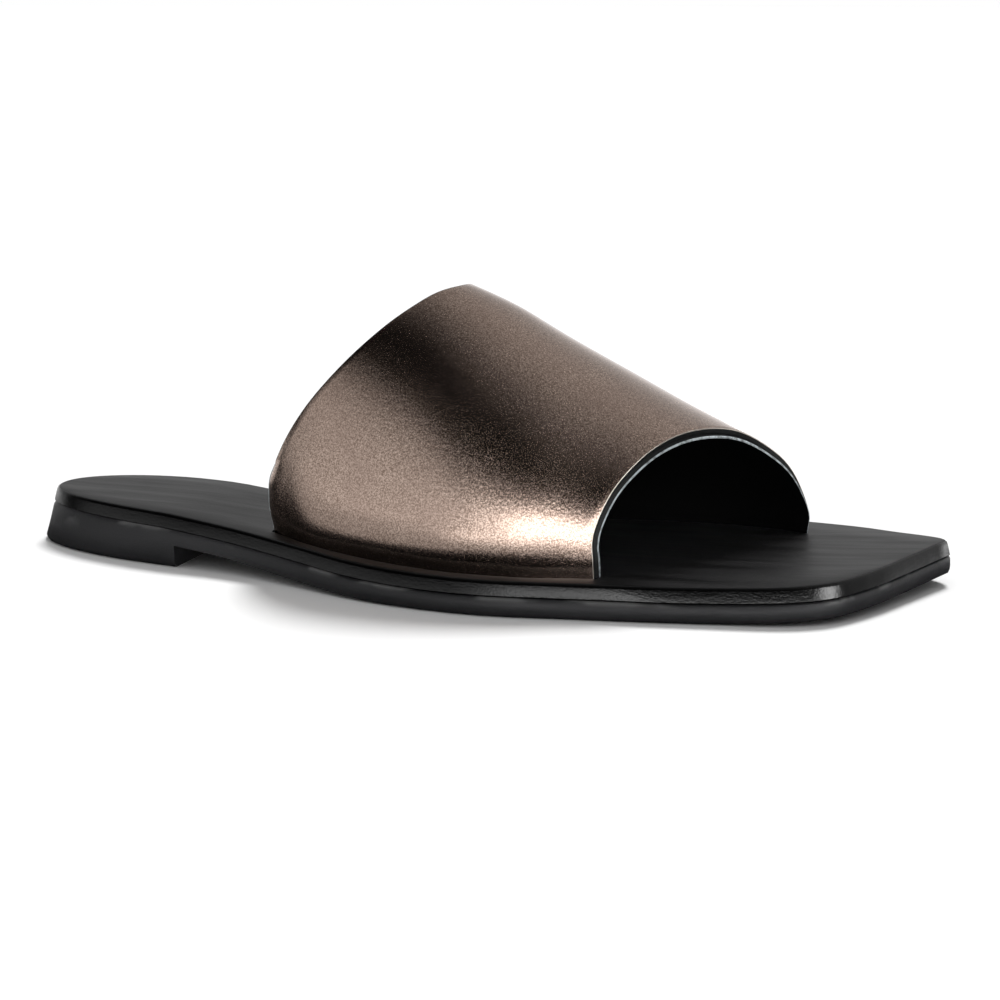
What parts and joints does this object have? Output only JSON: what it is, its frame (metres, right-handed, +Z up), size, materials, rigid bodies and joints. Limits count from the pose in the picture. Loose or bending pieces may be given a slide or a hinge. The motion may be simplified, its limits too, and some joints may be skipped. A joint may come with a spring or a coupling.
{
  "type": "slide sandal",
  "caption": "Flat slide sandal: a wide metallic bronze leather band over a black leather footbed with a slanted square toe, on a thin black outsole with a low built-in heel.",
  "frame": {"origin": "middle of the sandal's box in plan, on the floor that the sole stands on", "axes": "+X from heel to toe, +Y to the inner (medial) side of the foot, +Z up"},
  "size_m": [0.261, 0.0982, 0.08],
  "materials": {
    "outsole_rubber": "satin black moulded sole, slightly shiny side",
    "footbed_leather": "smooth black leather with a satin top and a polished edge",
    "strap_leather": "metallic bronze leather with fine grain, black lining, cut edges"
  },
  "bodies": {
    "root": {"outsole": "outsole_rubber", "footbed": "footbed_leather", "strap": "strap_leather"}
  },
  "joints": []
}
